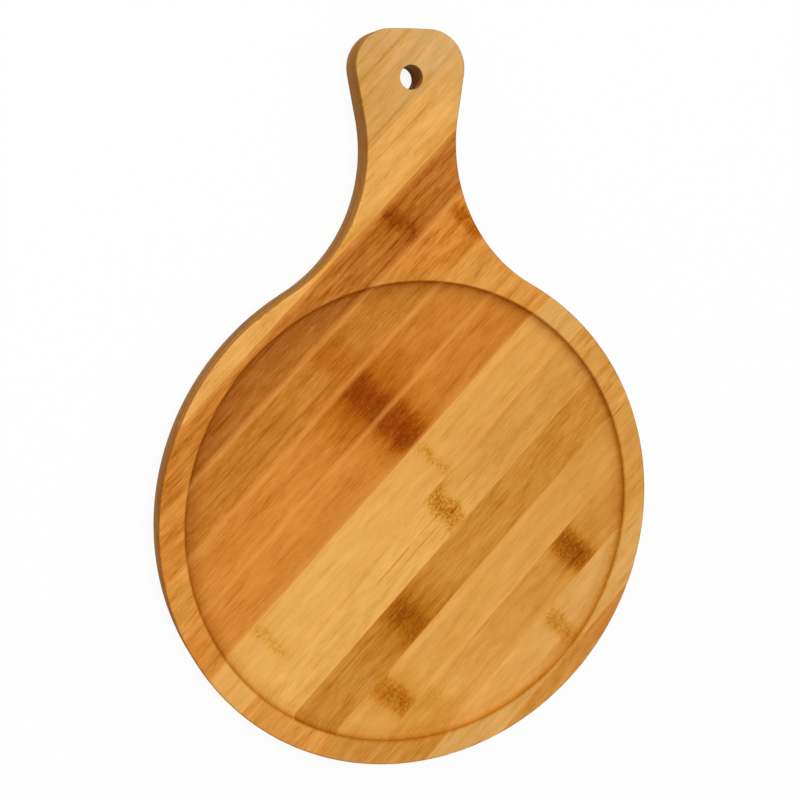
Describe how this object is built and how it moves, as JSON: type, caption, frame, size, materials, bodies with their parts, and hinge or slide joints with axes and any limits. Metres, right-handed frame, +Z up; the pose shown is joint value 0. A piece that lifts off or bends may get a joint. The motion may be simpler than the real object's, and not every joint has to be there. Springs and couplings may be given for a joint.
{
  "type": "pizza serving board",
  "caption": "Round laminated bamboo serving board with a shallow round recess for a pizza, a short flared paddle handle and a hanging hole.",
  "frame": {"origin": "middle of the round plate, on the underside that rests on the table", "axes": "+Y along the handle away from the plate, +Z up out of the recess, +X across the board"},
  "size_m": [0.25, 0.3529, 0.015],
  "materials": {
    "face_straw": "sanded and oiled bamboo, satin",
    "face_honey": "sanded and oiled bamboo, satin",
    "face_wheat": "sanded and oiled bamboo, satin",
    "face_amber": "sanded and oiled bamboo, satin",
    "face_olive": "sanded and oiled bamboo, satin",
    "face_caramel": "sanded and oiled bamboo, satin",
    "core_bamboo": "sanded and oiled bamboo, satin",
    "back_bamboo": "sanded and oiled bamboo, satin"
  },
  "bodies": {
    "root": {"face_strip_01": "face_honey", "face_strip_02": "face_honey", "face_strip_03": "face_honey", "face_strip_04": "face_caramel", "face_strip_05": "face_amber", "face_strip_06": "face_amber", "face_strip_07": "face_amber", "face_strip_08": "face_straw", "face_strip_09": "face_honey", "face_strip_10": "face_olive", "face_strip_11": "face_honey", "face_strip_12": "face_wheat", "face_strip_13": "face_straw", "face_strip_14": "face_amber", "core_strip_01": "core_bamboo", "core_strip_02": "core_bamboo", "core_strip_03": "core_bamboo", "core_strip_04": "core_bamboo", "core_strip_05": "core_bamboo", "core_strip_06": "core_bamboo", "core_strip_07": "core_bamboo", "core_strip_08": "core_bamboo", "core_strip_09": "core_bamboo", "core_strip_10": "core_bamboo", "core_strip_11": "core_bamboo", "core_strip_12": "core_bamboo", "core_strip_13": "core_bamboo", "back_strip_01": "back_bamboo", "back_strip_02": "back_bamboo", "back_strip_03": "back_bamboo", "back_strip_04": "back_bamboo", "back_strip_05": "back_bamboo", "back_strip_06": "back_bamboo", "back_strip_07": "back_bamboo", "back_strip_08": "back_bamboo", "back_strip_09": "back_bamboo", "back_strip_10": "back_bamboo", "back_strip_11": "back_bamboo", "back_strip_12": "back_bamboo", "back_strip_13": "back_bamboo", "back_strip_14": "back_bamboo"}
  },
  "joints": []
}
